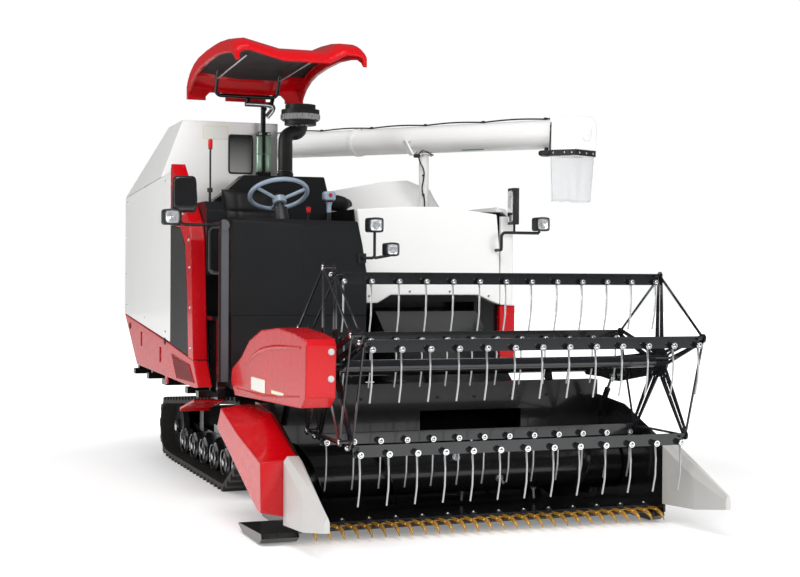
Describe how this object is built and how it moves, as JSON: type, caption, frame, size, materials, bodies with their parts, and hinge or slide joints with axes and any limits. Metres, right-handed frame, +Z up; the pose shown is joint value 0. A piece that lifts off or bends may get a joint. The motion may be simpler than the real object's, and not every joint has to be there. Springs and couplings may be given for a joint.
{
  "type": "combine harvester",
  "caption": "Crawler combine harvester with a lifting cutter, auger and tine reel in front, grain tank on the right, swinging unloading pipe and an open driver's seat under a canopy",
  "frame": {"origin": "on the ground, under the middle of the whole machine's bounding box", "axes": "+Z up, the machine's front faces -Y, +X is the machine's own left"},
  "size_m": [2.7334, 4.794, 2.875],
  "materials": {
    "red": "gloss paint",
    "white": "gloss paint",
    "black_paint": "satin paint",
    "charcoal": "fine grain, satin",
    "dark_steel": "gloss paint",
    "grey_paint": "satin paint",
    "blue_grey": "moulded, satin",
    "steel": "worn bright",
    "gold_zinc": "yellow zinc plate",
    "rubber": "moulded",
    "black_plastic": "grained",
    "seat_vinyl": "grained",
    "clear": "clear",
    "clear_sheet": "clear sheet",
    "cast": "painted cast"
  },
  "bodies": {
    "machine": {"chassis": "black_paint", "track_frames": "black_paint", "track_wheels": "dark_steel", "track_right": "rubber", "track_left": "rubber", "engine": "cast", "platform": "black_paint", "engine_cover": "charcoal", "seat": "seat_vinyl", "console": "charcoal", "steering_column": "black_plastic", "control_levers": "black_plastic", "side_console": "charcoal", "grab_rails": "grey_paint", "side_cover": "white", "front_frame": "red", "lower_cover": "red", "tank": "white", "tank_window": "clear", "thresher": "black_paint", "front_cover": "white", "left_cover": "white", "left_lower_cover": "red", "drum_hood": "white", "straw_hood": "white", "upright_auger": "black_paint", "cradle": "white", "air_cleaner": "black_plastic", "canopy": "red", "canopy_frame": "black_paint", "mirrors": "black_plastic", "front_lamps": "black_plastic", "step": "red"},
    "header": {"feeder_house": "black_paint", "header_body": "black_paint", "knife_guards": "gold_zinc", "header_side_cover": "red", "crop_dividers": "white"},
    "knife": {"knife": "steel"},
    "header_auger": {"header_auger": "black_paint"},
    "reel_arms": {"reel_arms": "black_paint", "reel_drive_cover": "red"},
    "reel": {"reel": "dark_steel"},
    "reel_ring": {"reel_ring": "dark_steel"},
    "bat_1": {"bat_1": "dark_steel"},
    "bat_2": {"bat_2": "dark_steel"},
    "bat_3": {"bat_3": "dark_steel"},
    "bat_4": {"bat_4": "dark_steel"},
    "bat_5": {"bat_5": "dark_steel"},
    "lift_barrel": {"lift_barrel": "black_paint"},
    "lift_ram": {"lift_ram": "steel"},
    "reel_barrel_right": {"reel_barrel_right": "black_paint"},
    "reel_ram_right": {"reel_ram_right": "steel"},
    "reel_barrel_left": {"reel_barrel_left": "black_paint"},
    "reel_ram_left": {"reel_ram_left": "steel"},
    "steering_wheel": {"steering_wheel": "blue_grey"},
    "screen_door": {"screen_door": "black_plastic"},
    "unload_elbow": {"unload_elbow": "white"},
    "unload_pipe": {"unload_pipe": "white", "spout_curtain": "clear_sheet"}
  },
  "joints": [
    {"name": "header_lift", "type": "hinge", "parent": "machine", "child": "header", "pos_m": [0.05, -0.13, 0.98], "axis": [-1, 0, 0], "range_deg": [0, 25]},
    {"name": "lift_barrel_turn", "type": "hinge", "parent": "machine", "child": "lift_barrel", "pos_m": [0.23, -0.32, 0.43], "axis": [-1, 0, 0], "range_deg": [-0.1, 34]},
    {"name": "lift_ram_slide", "type": "slide", "parent": "lift_barrel", "child": "lift_ram", "axis": [0, -0.9638, -0.2666], "range_m": [-0.001, 0.24]},
    {"name": "knife_stroke", "type": "slide", "parent": "header", "child": "knife", "axis": [1, 0, 0], "range_m": [-0.0381, 0.0381]},
    {"name": "header_auger_spin", "type": "hinge", "parent": "header", "child": "header_auger", "pos_m": [0.05, -1.2, 0.272], "axis": [-1, 0, 0], "continuous": true},
    {"name": "reel_lift", "type": "hinge", "parent": "header", "child": "reel_arms", "pos_m": [0.05, -0.88, 0.835], "axis": [-1, 0, 0], "range_deg": [-3, 20]},
    {"name": "reel_spin", "type": "hinge", "parent": "reel_arms", "child": "reel", "pos_m": [0.05, -1.8, 0.925], "axis": [-1, 0, 0], "continuous": true},
    {"name": "reel_ring_turn", "type": "hinge", "parent": "reel_arms", "child": "reel_ring", "pos_m": [0.05, -1.84, 0.962], "axis": [-1, 0, 0], "continuous": true},
    {"name": "bat_1_turn", "type": "hinge", "parent": "reel", "child": "bat_1", "pos_m": [0.05, -1.8, 1.41], "axis": [-1, 0, 0], "continuous": true},
    {"name": "bat_2_turn", "type": "hinge", "parent": "reel", "child": "bat_2", "pos_m": [0.05, -2.26126, 1.07487], "axis": [-1, 0, 0], "continuous": true},
    {"name": "bat_3_turn", "type": "hinge", "parent": "reel", "child": "bat_3", "pos_m": [0.05, -2.08508, 0.53263], "axis": [-1, 0, 0], "continuous": true},
    {"name": "bat_4_turn", "type": "hinge", "parent": "reel", "child": "bat_4", "pos_m": [0.05, -1.51492, 0.53263], "axis": [-1, 0, 0], "continuous": true},
    {"name": "bat_5_turn", "type": "hinge", "parent": "reel", "child": "bat_5", "pos_m": [0.05, -1.33874, 1.07487], "axis": [-1, 0, 0], "continuous": true},
    {"name": "reel_barrel_right_turn", "type": "hinge", "parent": "header", "child": "reel_barrel_right", "pos_m": [-0.796, -1.09, 0.56], "axis": [-1, 0, 0], "range_deg": [-2, 12.2]},
    {"name": "reel_ram_right_slide", "type": "slide", "parent": "reel_barrel_right", "child": "reel_ram_right", "axis": [0, -0.5665, 0.824], "range_m": [-0.018, 0.112]},
    {"name": "reel_barrel_left_turn", "type": "hinge", "parent": "header", "child": "reel_barrel_left", "pos_m": [1.213, -1.09, 0.56], "axis": [-1, 0, 0], "range_deg": [-2, 12.2]},
    {"name": "reel_ram_left_slide", "type": "slide", "parent": "reel_barrel_left", "child": "reel_ram_left", "axis": [0, -0.5665, 0.824], "range_m": [-0.018, 0.112]},
    {"name": "steering", "type": "hinge", "parent": "machine", "child": "steering_wheel", "pos_m": [-0.622, -0.33, 1.905], "axis": [0, 0.4695, 0.8829], "range_deg": [-120, 120]},
    {"name": "screen_door_swing", "type": "hinge", "parent": "machine", "child": "screen_door", "pos_m": [-1.139, 0.4473, 1.3], "axis": [0, 0, -1], "range_deg": [0, 90]},
    {"name": "unload_swing", "type": "hinge", "parent": "machine", "child": "unload_elbow", "pos_m": [-0.175, 2.262, 2.262], "axis": [0, 0, 1], "range_deg": [0, 150]},
    {"name": "unload_lift", "type": "hinge", "parent": "unload_elbow", "child": "unload_pipe", "pos_m": [-0.175, 2.262, 2.415], "axis": [-0.9047, -0.426, 0], "range_deg": [0, 35]}
  ],
  "couplings": [
    {"joint": "lift_barrel_turn", "follows": "header_lift", "ratio": 1.346},
    {"joint": "lift_ram_slide", "follows": "header_lift", "m_per_rad": 0.5396},
    {"joint": "reel_ring_turn", "follows": "reel_spin", "ratio": 1},
    {"joint": "bat_1_turn", "follows": "reel_spin", "ratio": -1},
    {"joint": "bat_2_turn", "follows": "reel_spin", "ratio": -1},
    {"joint": "bat_3_turn", "follows": "reel_spin", "ratio": -1},
    {"joint": "bat_4_turn", "follows": "reel_spin", "ratio": -1},
    {"joint": "bat_5_turn", "follows": "reel_spin", "ratio": -1},
    {"joint": "reel_barrel_right_turn", "follows": "reel_lift", "ratio": 0.5982},
    {"joint": "reel_ram_right_slide", "follows": "reel_lift", "m_per_rad": 0.3178},
    {"joint": "reel_barrel_left_turn", "follows": "reel_lift", "ratio": 0.5982},
    {"joint": "reel_ram_left_slide", "follows": "reel_lift", "m_per_rad": 0.3178}
  ]
}
